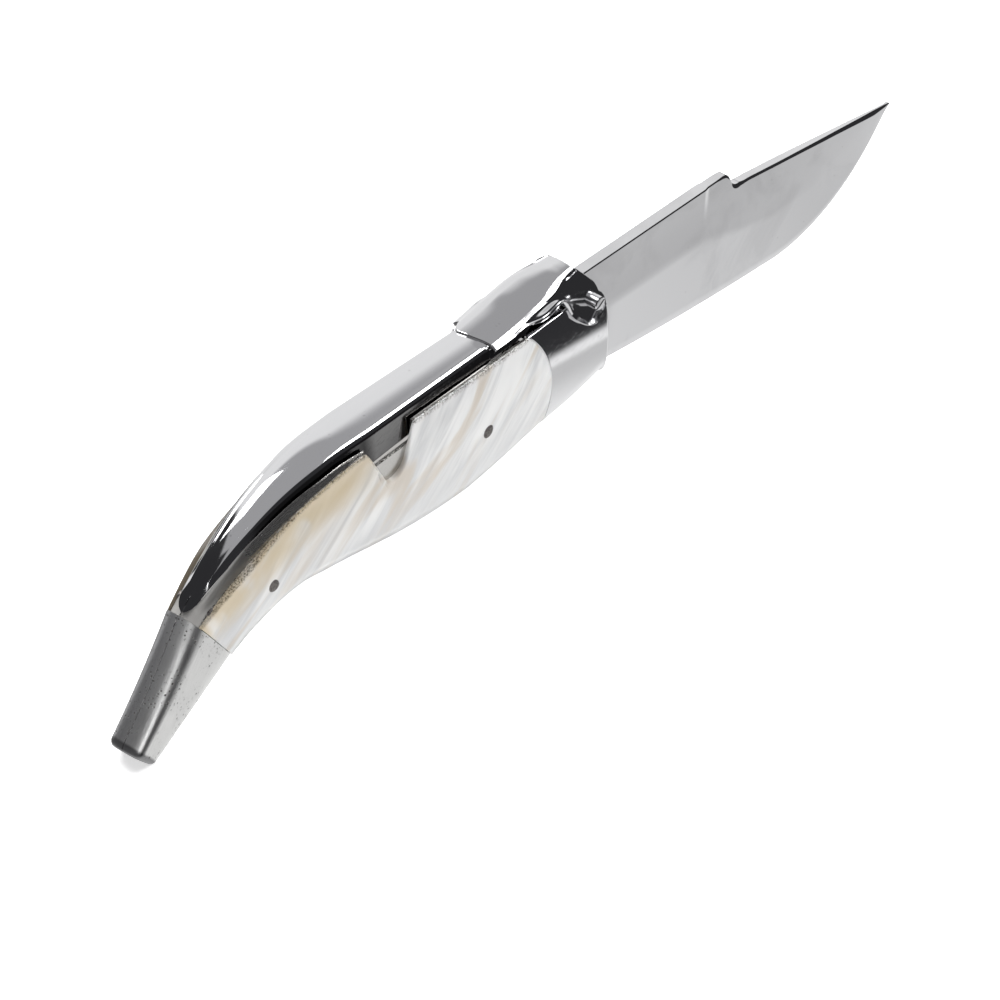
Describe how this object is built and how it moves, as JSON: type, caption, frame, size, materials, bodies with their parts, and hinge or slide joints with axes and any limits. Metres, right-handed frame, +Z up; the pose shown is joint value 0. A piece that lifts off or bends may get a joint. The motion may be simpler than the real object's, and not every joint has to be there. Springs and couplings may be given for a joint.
{
  "type": "folding pocket knife",
  "caption": "Folding pocket knife with a stepped clip-point blade, pearl-look scales, metal bolsters, a back spring and a hinged lock lever.",
  "frame": {"origin": "centre of the open knife's box, at its lowest level", "axes": "+X along the open blade to its tip, +Z up to the blade's back, +Y to the right side"},
  "size_m": [0.2056, 0.0144, 0.0441],
  "materials": {
    "blade_steel": "satin polished",
    "spring_steel": "polished",
    "pin_steel": "ground",
    "bolster_metal": "polished with fine scratches",
    "liner_metal": "sheared edges",
    "washer_brass": "plain",
    "pearl": "pearl streaks, polished"
  },
  "bodies": {
    "handle": {"lever_pin": "pin_steel", "pivot_pin": "pin_steel", "spring_rivet": "pin_steel", "tail_rivet": "pin_steel", "left_front_bolster": "bolster_metal", "left_rear_bolster": "bolster_metal", "left_liner": "liner_metal", "left_scale": "pearl", "left_front_scale_pin": "pin_steel", "left_rear_scale_pin": "pin_steel", "left_bolster_pins": "pin_steel", "left_pivot_washer": "washer_brass", "right_front_bolster": "bolster_metal", "right_rear_bolster": "bolster_metal", "right_liner": "liner_metal", "right_scale": "pearl", "right_front_scale_pin": "pin_steel", "right_rear_scale_pin": "pin_steel", "right_bolster_pins": "pin_steel", "right_pivot_washer": "washer_brass"},
    "blade": {"blade": "blade_steel"},
    "spring": {"back_spring": "spring_steel"},
    "lever": {"lock_lever": "spring_steel", "lift_pin": "pin_steel"}
  },
  "joints": [
    {"name": "blade_fold", "type": "hinge", "parent": "handle", "child": "blade", "pos_m": [0.00135, 0, 0.0277], "axis": [0, 1, 0], "range_deg": [0, 167]},
    {"name": "lever_lift", "type": "hinge", "parent": "handle", "child": "lever", "pos_m": [0.00724, 0, 0.0374], "axis": [0, 1, 0], "range_deg": [0, 20], "stiffness_Nm_per_rad": 0.05},
    {"name": "spring_flex", "type": "hinge", "parent": "handle", "child": "spring", "pos_m": [-0.08735, 0, 0.0232], "axis": [0, -1, 0], "range_deg": [0, 1.13]}
  ],
  "couplings": [
    {"joint": "spring_flex", "follows": "lever_lift", "ratio": 0.0566}
  ]
}
